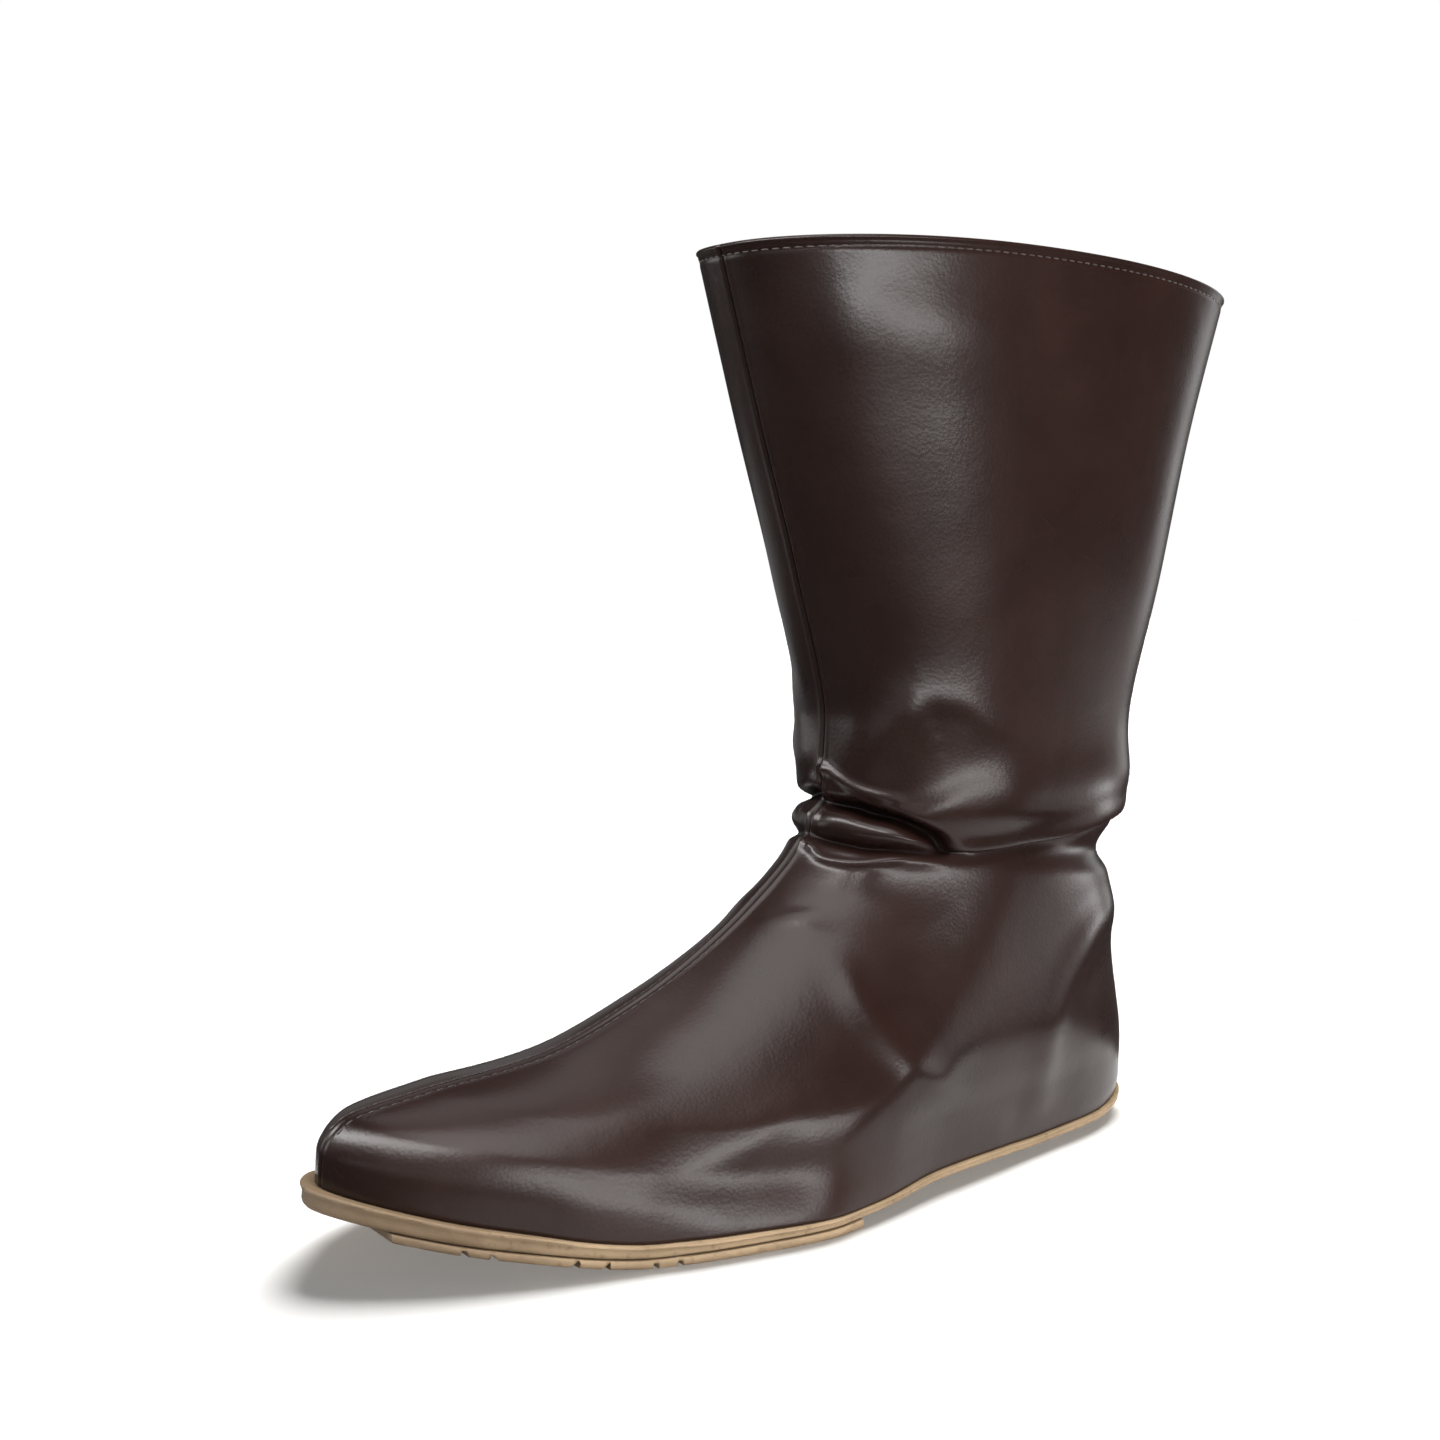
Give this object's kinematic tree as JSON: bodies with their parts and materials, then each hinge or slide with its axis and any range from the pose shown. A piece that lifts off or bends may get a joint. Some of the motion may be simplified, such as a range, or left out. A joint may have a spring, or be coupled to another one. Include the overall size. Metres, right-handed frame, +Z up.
{
  "type": "costume boot",
  "caption": "Slouched mid-calf costume boot for the left foot, seamed leather-look upper on a thin tan rubber sole with toe spring.",
  "frame": {"origin": "on the floor under the middle of the boot's box", "axes": "+Z up, -Y towards the toe, +X towards the outer side of the left foot"},
  "size_m": [0.1005, 0.3175, 0.2709],
  "materials": {
    "brown_leather": "smooth satin, dark chocolate brown",
    "brown_lining": "matt woven lining",
    "tan_rubber": "matt moulded tan"
  },
  "bodies": {
    "root": {"upper": "brown_leather", "insole": "brown_lining", "midsole": "tan_rubber", "outsole_forefoot": "tan_rubber", "outsole_heel": "tan_rubber"}
  },
  "joints": []
}
